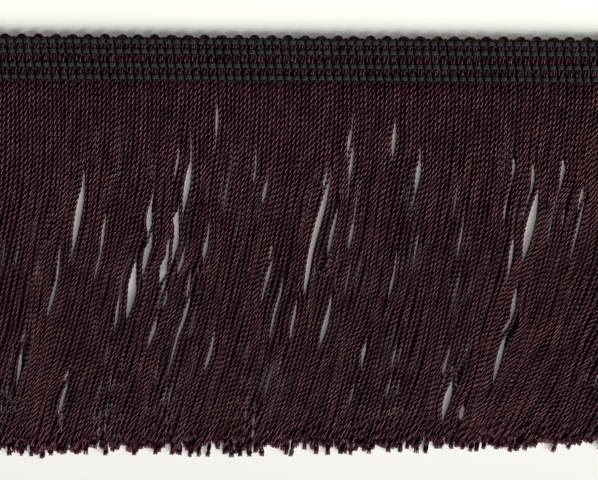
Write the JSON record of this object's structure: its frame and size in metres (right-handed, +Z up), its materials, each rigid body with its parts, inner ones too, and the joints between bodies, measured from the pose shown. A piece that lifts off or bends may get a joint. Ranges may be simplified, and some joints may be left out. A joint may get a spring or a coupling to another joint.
{
  "type": "cut fringe trim",
  "caption": "Cut length of fringe trim: narrow knitted heading with a looped edge and a two-layer skirt of twisted cords with cut ends.",
  "frame": {"origin": "middle of the underside of the trim's bounding box, as it lies flat with its face up", "axes": "+X along the heading, +Y from the cut ends towards the heading's looped edge, +Z up out of the face"},
  "size_m": [0.2914, 0.155, 0.0031],
  "materials": {
    "twisted_cord": "two-ply twisted rayon cord, dark aubergine, soft sheen",
    "chain_yarn": "flat filament chain yarn, matt green-black"
  },
  "bodies": {
    "root": {"heading_band": "twisted_cord", "edge_loops": "twisted_cord", "chain_1": "chain_yarn", "chain_2": "chain_yarn", "chain_3": "chain_yarn", "chain_4": "chain_yarn", "fringe_front": "twisted_cord", "fringe_back": "twisted_cord"}
  },
  "joints": []
}
